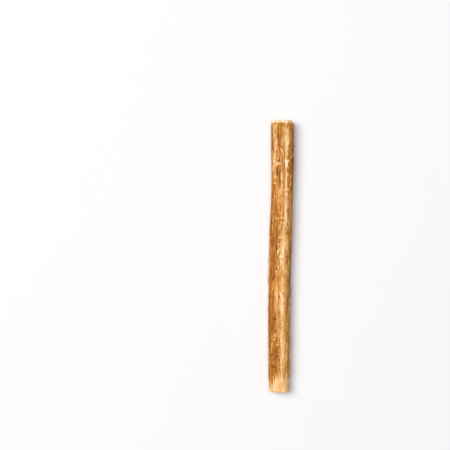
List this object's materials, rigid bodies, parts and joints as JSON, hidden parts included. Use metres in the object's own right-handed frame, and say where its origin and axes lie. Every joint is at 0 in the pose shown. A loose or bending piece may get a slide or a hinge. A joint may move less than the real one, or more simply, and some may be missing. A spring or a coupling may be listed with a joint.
{
  "type": "miswak stick",
  "caption": "Chewing stick cut from a toothbrush-tree root: a golden-brown, gently crooked round stick with furrowed, partly scraped bark, flat cut ends and a foot peeled to pale wood.",
  "frame": {"origin": "under the middle of the lying stick, at the centre of its breadth and length, on the surface that it rests on", "axes": "+Y along the stick towards its thicker cut end, +X to the right when looking down on it with +Y up, +Z up"},
  "size_m": [0.014, 0.15, 0.0119],
  "materials": {
    "bark": "satin golden-brown bark, scraped through to pale cream wood in strips"
  },
  "bodies": {
    "root": {"stick": "bark"}
  },
  "joints": []
}
